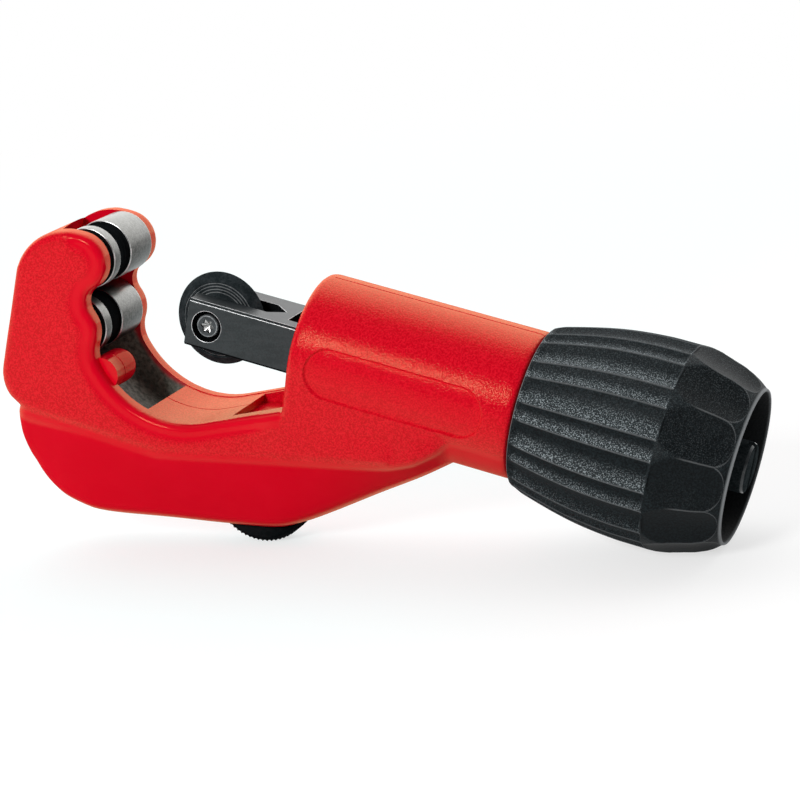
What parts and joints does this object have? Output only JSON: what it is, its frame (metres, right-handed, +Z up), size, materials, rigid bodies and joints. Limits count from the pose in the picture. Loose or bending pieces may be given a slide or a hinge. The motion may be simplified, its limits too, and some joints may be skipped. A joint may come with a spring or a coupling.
{
  "type": "pipe cutter",
  "caption": "Screw-feed pipe cutter with a red cast C-frame, steel guide rollers, a cutting wheel on a slide, a black fluted grip and a folding deburrer.",
  "frame": {"origin": "centre of the footprint, on the bench that the tool rests on", "axes": "+X along the tool from the jaw to the grip, +Z up, Y the tool's width with the cutting wheel's plane at y = 0; the tool rests on its thumb wheel and its grip, which tips the spindle down towards the grip"},
  "size_m": [0.1544, 0.0402, 0.0672],
  "materials": {
    "red_coat": "fine-grained satin powder coat",
    "ground_steel": "ground",
    "bright_steel": "turned",
    "black_steel": "black oxide, satin",
    "wheel_steel": "hardened and blackened",
    "bronze": "sintered",
    "black_grip": "sandblast-textured"
  },
  "bodies": {
    "frame": {"body": "red_coat", "upper_roller_axle": "bright_steel", "lower_roller_axle": "bright_steel", "slide_stop_screw": "black_steel", "front_thrust_washer": "bronze", "rear_thrust_washer": "bronze", "spindle_retainer": "bright_steel", "deburrer_pin": "bright_steel", "deburrer_spring_washer": "bright_steel", "deburrer_plain_washer": "bright_steel"},
    "drive": {"handle": "black_grip", "spindle": "bright_steel", "handle_washer": "black_steel", "handle_screw": "black_steel"},
    "slide": {"cutter_slide": "black_steel", "wheel_bush": "bronze", "wheel_screw": "black_steel"},
    "wheel": {"cutter_wheel": "wheel_steel"},
    "upper_roller": {"upper_roller": "ground_steel"},
    "lower_roller": {"lower_roller": "ground_steel"},
    "deburrer": {"deburrer_thumb_wheel": "black_steel", "deburrer_blade": "bright_steel"}
  },
  "joints": [
    {"name": "handle_spin", "type": "hinge", "parent": "frame", "child": "drive", "pos_m": [-0.01259, 0, 0.04046], "axis": [-0.9602, 0, 0.2794], "range_deg": [-4065, 1819]},
    {"name": "slide_travel", "type": "slide", "parent": "frame", "child": "slide", "axis": [-0.9602, 0, 0.2794], "range_m": [-0.02258, 0.0101]},
    {"name": "wheel_spin", "type": "hinge", "parent": "slide", "child": "wheel", "pos_m": [-0.03214, 0, 0.04615], "axis": [0, 1, 0], "continuous": true},
    {"name": "upper_roller_spin", "type": "hinge", "parent": "frame", "child": "upper_roller", "pos_m": [-0.05629, 0, 0.06067], "axis": [0, 1, 0], "continuous": true},
    {"name": "lower_roller_spin", "type": "hinge", "parent": "frame", "child": "lower_roller", "pos_m": [-0.06031, 0, 0.04685], "axis": [0, 1, 0], "continuous": true},
    {"name": "deburrer_swing", "type": "hinge", "parent": "frame", "child": "deburrer", "pos_m": [-0.02701, 0, 0.0106], "axis": [0, -1, 0], "range_deg": [0, 120]}
  ],
  "couplings": [
    {"joint": "handle_spin", "follows": "slide_travel", "rad_per_m": 3141.6}
  ]
}
